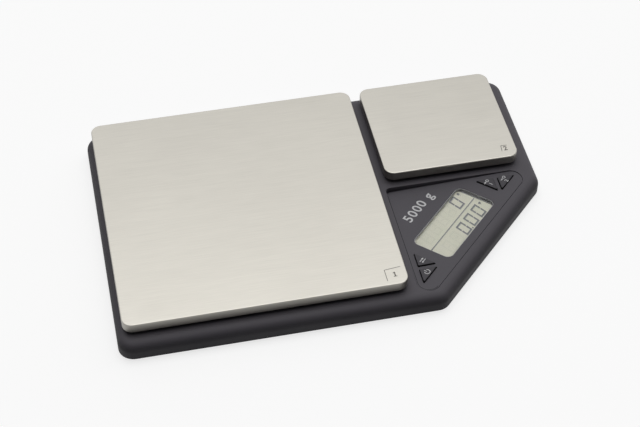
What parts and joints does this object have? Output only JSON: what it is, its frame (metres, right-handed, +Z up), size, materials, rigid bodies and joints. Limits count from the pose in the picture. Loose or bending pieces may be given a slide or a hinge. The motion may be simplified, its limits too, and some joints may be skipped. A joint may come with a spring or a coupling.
{
  "type": "kitchen scale",
  "caption": "Flat electronic kitchen scale with a large and a small brushed steel platform and an angled display panel with keys.",
  "frame": {"origin": "bottom centre of the whole scale, on the surface that the feet stand on", "axes": "+X to the right along the longest side, +Y to the back, +Z up"},
  "size_m": [0.2614, 0.1706, 0.02],
  "materials": {
    "platform_steel": "brushed along the width",
    "housing_plastic": "fine satin texture",
    "panel_plastic": "fine satin texture",
    "key_plastic": "satin",
    "cover_plastic": "fine texture",
    "carrier_plastic": "as moulded",
    "adhesive_foam": "foam tape",
    "foot_rubber": "matt",
    "cell_aluminium": "milled",
    "spacer_steel": "stamped",
    "sealant": "soft silicone",
    "screw_steel": "zinc plated",
    "window_clear": "clear acrylic",
    "display_glass": "reflective display",
    "frame_plastic": "as moulded",
    "zebra_rubber": "layered rubber",
    "board_laminate": "solder mask",
    "chip_resin": "moulded resin",
    "component_body": "ceramic and metal",
    "plug_nylon": "nylon",
    "coin_steel": "nickel plated",
    "contact_nickel": "nickel plated",
    "switch_body": "as moulded",
    "plunger": "as moulded",
    "wire_sleeve": "grey sleeve",
    "wire_red": "red sleeve"
  },
  "bodies": {
    "base": {"battery_contact": "contact_nickel", "battery_wire": "wire_red", "board_components": "component_body", "board_screws": "screw_steel", "bottom_cover": "cover_plastic", "circuit_board": "board_laminate", "coin_cells": "coin_steel", "control_panel": "panel_plastic", "feet": "foot_rubber", "housing_screws": "screw_steel", "key_switches": "switch_body", "large_beam_fixed_spacer": "spacer_steel", "large_cell_wire": "wire_sleeve", "large_gauge_sealant": "sealant", "large_load_cell": "cell_aluminium", "large_load_cell_screws": "screw_steel", "lcd_frame": "frame_plastic", "lcd_glass": "display_glass", "lcd_window": "window_clear", "main_chip": "chip_resin", "small_beam_fixed_spacer": "spacer_steel", "small_cell_wire": "wire_sleeve", "small_gauge_sealant": "sealant", "small_load_cell": "cell_aluminium", "small_load_cell_screws": "screw_steel", "top_housing": "housing_plastic", "wire_plugs": "plug_nylon", "zebra_connector": "zebra_rubber"},
    "large_platform": {"large_platform_plate": "platform_steel", "large_platform_carrier": "carrier_plastic", "large_platform_pads": "adhesive_foam", "large_carrier_screws": "screw_steel", "large_beam_free_spacer": "spacer_steel"},
    "small_platform": {"small_platform_plate": "platform_steel", "small_platform_carrier": "carrier_plastic", "small_platform_pads": "adhesive_foam", "small_carrier_screws": "screw_steel", "small_beam_free_spacer": "spacer_steel"},
    "battery_door": {"battery_door": "cover_plastic", "door_contact": "contact_nickel"},
    "tare_1_key": {"tare_1_key": "key_plastic", "tare_1_switch_plunger": "plunger"},
    "tare_2_key": {"tare_2_key": "key_plastic", "tare_2_switch_plunger": "plunger"},
    "unit_key": {"unit_key": "key_plastic", "unit_switch_plunger": "plunger"},
    "power_key": {"power_key": "key_plastic", "power_switch_plunger": "plunger"}
  },
  "joints": [
    {"name": "large_platform_sink", "type": "slide", "parent": "base", "child": "large_platform", "axis": [0, 0, -1], "range_m": [0, 0.0004], "stiffness_N_per_m": 20000, "springref_m": -0.0002, "deforming": ["large_load_cell"]},
    {"name": "small_platform_sink", "type": "slide", "parent": "base", "child": "small_platform", "axis": [0, 0, -1], "range_m": [0, 0.0004], "stiffness_N_per_m": 8000, "springref_m": -0.00015, "deforming": ["small_load_cell"]},
    {"name": "tare_1_key_press", "type": "slide", "parent": "base", "child": "tare_1_key", "axis": [0.037, -0.037, -0.9986], "range_m": [0, 0.0005], "stiffness_N_per_m": 600, "springref_m": -0.0003},
    {"name": "tare_2_key_press", "type": "slide", "parent": "base", "child": "tare_2_key", "axis": [0.037, -0.037, -0.9986], "range_m": [0, 0.0005], "stiffness_N_per_m": 600, "springref_m": -0.0003},
    {"name": "unit_key_press", "type": "slide", "parent": "base", "child": "unit_key", "axis": [0.037, -0.037, -0.9986], "range_m": [0, 0.0005], "stiffness_N_per_m": 600, "springref_m": -0.0003},
    {"name": "power_key_press", "type": "slide", "parent": "base", "child": "power_key", "axis": [0.037, -0.037, -0.9986], "range_m": [0, 0.0005], "stiffness_N_per_m": 600, "springref_m": -0.0003},
    {"name": "battery_door_open", "type": "hinge", "parent": "base", "child": "battery_door", "pos_m": [-0.0832, -0.0499, 0.0023], "axis": [0, 1, 0], "range_deg": [0, 100]}
  ]
}
